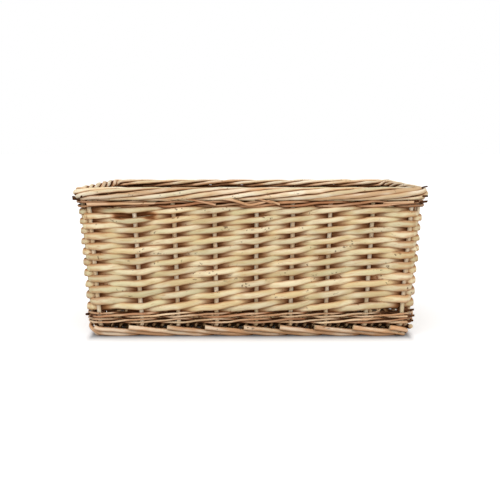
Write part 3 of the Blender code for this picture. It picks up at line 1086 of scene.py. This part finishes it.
def corner_wrap(index, row):
    """Points that take a weaver round the outside of a corner stake."""
    reach = STAKE_RADIUS + row_radius(row) * CORNER_DEEP + WRAP_GAP
    side = corner_side(index)
    centre, outward, along = stake_at(index, row_height(row))
    arrive = -math.atan(2.0 * reach / spacing(index - 1 if side == 1 else index))
    leave = math.radians(45.0) + math.asin(min(1.0, 2.0 * reach / (CORNER_RADIUS * math.sqrt(2.0))))
    points = []
    for share in CORNER_SHARES:
        angle = arrive + share * (leave - arrive)
        facing = outward * math.cos(angle) + along * side * math.sin(angle)
        points.append(centre + facing * reach)
    return points if side == 1 else points[::-1]


def thinness(index, height):
    """Share of its thickness that a weaver keeps behind this stake at this height."""
    for place, level, share in THIN_SPOTS:
        if index % COUNT == place and abs(height - level) < 0.5 * row_pitch(0):
            return share
    return 1.0


def weaver_span(start):
    """First and last stake that hold a weaver, both on its outer side."""
    base = rows_to(start)
    first = start
    while rows_to(first + 1) - base < FIRST_OUTSIDE_ROW:
        first += 2
    last = first
    while (
        rows_to(last + 2) - base < SIDING_ROWS + ROW_MARGIN
        and rows_to(last + 1) - base < LAST_OUTSIDE_ROW
    ):
        last += 2
    return first, last


def weaver_pass(index, row, outside, dice):
    """Knots of a weaver where it passes a stake, outside or inside."""
    if outside and corner_side(index):
        points = corner_wrap(index, row)
        tall, deep = CORNER_TALL, CORNER_DEEP
    else:
        away = weaver_reach(row) if outside else -weaver_reach(row)
        lift = dice.uniform(-WEAVER_UNEVEN, WEAVER_UNEVEN) if outside else 0.0
        points = [on_wall(index, away, row_height(row) + lift)]
        tall, deep = (WEAVER_TALL if outside else WEAVER_TALL_BEHIND), WEAVER_DEEP
    thin = 1.0 if outside else thinness(index, row_height(row))
    return [knot(point, row_radius(row) * deep * thin, tall / deep) for point in points]


def weaver_crossing(index, row, after, outside):
    """Knot of a weaver half way to the next stake, where it goes through the wall."""
    middle = 0.5 * (row + after)
    thin = thinness(index + 1 if outside else index, row_height(after if outside else row))
    radius = row_radius(middle) * WEAVER_CROSSING * thin
    return knot(on_wall(index + 0.5, 0.0, row_height(middle)), radius, WEAVER_CROSSING_TALL)


def weaver_stub(index, way, base):
    """Knot of a weaver's end, a little past the inside of the stake that holds it."""
    row = rows_to(index) - base
    next_row = rows_to(index - way) - base
    height = row_height(row + (row - next_row) * WEAVER_STUB)
    away = -weaver_reach(row) * (1.0 + 2.0 * WEAVER_STUB)
    return knot(on_wall(index + way * WEAVER_STUB, away, height), row_radius(row))


def weaver_knots(start, dice):
    """Knots of one weaver, from behind a stake at the bottom to behind one at the top."""
    base = rows_to(start)
    first, last = weaver_span(start)
    knots = [weaver_stub(first, -1, base)]
    for index in range(first, last + 1):
        row = rows_to(index) - base
        outside = (index - first) % 2 == 1
        knots += weaver_pass(index, row, outside, dice)
        if index < last:
            knots.append(weaver_crossing(index, row, rows_to(index + 1) - base, outside))
    return [*knots, weaver_stub(last, 1, base)]


def siding(finishes):
    """The weavers, one from each stake that isn't on a corner."""
    starts = [index for index in range(COUNT) if corner_side(index) == 0]
    for number, start in enumerate(starts):
        dice = random.Random(200 + number)
        rod = strand(
            weaver_knots(start, dice), dice, wander=0.00035, swell=0.05, slants=(1.6, 1.6), crevice=0.50,
            opening=siding_openness,
        )
        title = f"siding_weaver_{number + 1:02d}"
        piece(f"rod_{title}", [rod], finishes, "siding_willow", title)


# Base


def base_level():
    """Height of the base sticks, whose ends rest on the foot border of the short walls."""
    step = 2.0 * BUTT_RADIUS + FOOT_ROD_GAP
    passed = (FOOT_TUCK - BASE_STICK_TUCK) / (step * math.cos(FOOT_CLIMB))
    butt = BUTT_RADIUS - FOOT_FLAT + step * math.sin(FOOT_CLIMB) * (passed - FOOT_START)
    return butt + BUTT_RADIUS + ROD_GAP + BASE_STICK_RADIUS


def base_rows():
    """Places of the base sticks across the basket, and how far the woven rod sways past them."""
    sway = BASE_STICK_RADIUS + BASE_WEAVER_RADIUS
    inside = FOOT_TUCK + STAKE_RADIUS + BASE_GAP
    outer = HALF_DEPTH - inside - BASE_WEAVER_RADIUS - TURN_REACH * (sway + BASE_GAP)
    return [outer * (2.0 * number / (BASE_STICKS - 1) - 1.0) for number in range(BASE_STICKS)], sway


def base_weave_knots():
    """Knots of the rod woven to and fro over and under the sticks, one close row by another."""
    level = base_level()
    rows, sway = base_rows()
    reach = HALF_WIDTH - FOOT_TUCK - STAKE_RADIUS - BASE_GAP - BASE_WEAVER_RADIUS
    passes = int(2.0 * reach / BASE_PITCH)
    passes += passes % 2
    step = 2.0 * reach / (passes - 1)
    points = []
    for passing in range(passes):
        x = passing * step - reach
        way = 1 if passing % 2 == 0 else -1
        for number, row in enumerate(rows):
            points.append((x, way * row, level + (sway if number % 2 == 0 else -sway)))
            if number < BASE_STICKS - 1:
                points.append((x, way * 0.5 * (row + rows[number + 1]), level))
        if passing < passes - 1:
            points.append((x + 0.5 * step, way * (rows[-1] + sway), level))
    return [knot(point, BASE_WEAVER_RADIUS, redness=BASE_WEAVER_REDNESS) for point in points]


def base_rods(finishes):
    """Lengthwise sticks, and the rod woven across them."""
    level = base_level()
    rows, _ = base_rows()
    half = HALF_WIDTH + FLARE * level - BASE_STICK_TUCK
    for number, row in enumerate(rows):
        knots = [
            knot((x, row, level), BASE_STICK_RADIUS, redness=BASE_STICK_REDNESS)
            for x in np.linspace(-half, half, BASE_STICK_KNOTS)
        ]
        rod = strand(knots, random.Random(400 + number), opening=base_openness)
        name = f"base_stick_{number + 1}"
        piece(f"rod_{name}", [rod], finishes, "base_willow", name)
    rod = strand(base_weave_knots(), random.Random(500), sides=THIN_SIDES, opening=base_openness)
    piece("rods_base_weave", [rod], finishes, "base_willow", "base_weave")


def build(finishes):
    stakes(finishes)
    siding(finishes)
    waling(finishes)
    base_rods(finishes)


# Studio

# Lamps: name, height and turn in degrees, spread in degrees, and strength
LAMPS = (
    ("key", 46.0, -24.0, 60.0, 1.12),
    ("fill", 16.0, 22.0, 60.0, 0.82),
    ("back", 55.0, 160.0, 90.0, 0.45),
)
WORLD_LIGHT = 0.50
WORLD_SEEN = 1.0

# Floor: half its side, glow and colours by distance, darker near the basket as a painted contact shadow,
# and how much faster these change at the sides
FLOOR_HALF = 40.0
FLOOR_GLOW = (0.002, 0.040, 0.0, 0.42)
FLOOR_SHADOW_SPAN = (0.002, 0.018)
FLOOR_STRETCH = (3.2, 1.0, 1.0)
FLOOR_SHADOW_COLOUR = (0.49, 0.505, 0.525, 1.0)
FLOOR_COLOUR = (0.80, 0.805, 0.81, 1.0)
FLOOR_ROUGHNESS = 0.9
WHITE = (1.0, 1.0, 1.0, 1.0)


def camera(scene):
    data = bpy.data.cameras.new("camera")
    data.lens = LENS
    made = bpy.data.objects.new("camera", data)
    made.location = CAMERA_PLACE
    made.rotation_euler = (math.radians(90.0) - CAMERA_PITCH, 0.0, 0.0)
    scene.collection.objects.link(made)
    scene.camera = made


def lamps(scene):
    for name, height, turn, spread, strength in LAMPS:
        data = bpy.data.lights.new(name, "SUN")
        data.energy = strength
        data.angle = math.radians(spread)
        lamp = bpy.data.objects.new(name, data)
        lamp.rotation_euler = (math.radians(90.0 - height), 0.0, math.radians(turn))
        scene.collection.objects.link(lamp)


def surroundings(scene):
    """Soft light from all round, which the camera sees as plain white."""
    world = bpy.data.worlds.new("studio")
    scene.world = world
    world.use_nodes = True
    graph = Graph(world.node_tree)
    strength = graph.ramp(graph.seen_rays(), 0.0, 1.0, WORLD_LIGHT, WORLD_SEEN, "LINEAR")
    graph.fill(graph.tree.nodes["Background"], {"Color": WHITE, "Strength": strength})


def floor_material():
    """Pale floor that glows towards white for the camera away from the basket, with a painted contact
    shadow close by: a darker colour and no glow near the basket.
    """
    material, graph = new_material("floor")
    place = graph.node("ShaderNodeTexCoord").outputs["Object"]
    beyond = graph.vector("SUBTRACT", graph.vector("ABSOLUTE", place), (HALF_WIDTH, HALF_DEPTH, 0.0))
    stretched = graph.vector("MULTIPLY", graph.vector("MAXIMUM", beyond), FLOOR_STRETCH)
    distance = graph.vector("LENGTH", stretched)
    # Painted contact shadow: darker floor colour within a short span of the basket
    away = graph.ramp(distance, *FLOOR_SHADOW_SPAN, form="LINEAR")
    # Glow for the camera, none at the basket, which keeps the painted shadow there
    glow = graph.maths("MULTIPLY", graph.seen_rays(), graph.ramp(distance, *FLOOR_GLOW))
    graph.fill(graph.tree.nodes["Principled BSDF"], {
        "Base Color": graph.mix(away, FLOOR_SHADOW_COLOUR, FLOOR_COLOUR), "Roughness": FLOOR_ROUGHNESS,
        "Specular IOR Level": 0.0, "Emission Color": WHITE, "Emission Strength": glow,
    })
    return material


def floor(scene):
    half = FLOOR_HALF
    corners = [(-half, -half, 0), (half, -half, 0), (half, half, 0), (-half, half, 0)]
    mesh = bpy.data.meshes.new("floor")
    mesh.from_pydata(corners, [], [(0, 1, 2, 3)])
    mesh.materials.append(floor_material())
    made = bpy.data.objects.new("floor", mesh)
    scene.collection.objects.link(made)


def studio():
    scene = bpy.context.scene
    scene.view_settings.view_transform = "Standard"
    camera(scene)
    lamps(scene)
    surroundings(scene)
    floor(scene)


studio()
build(materials())
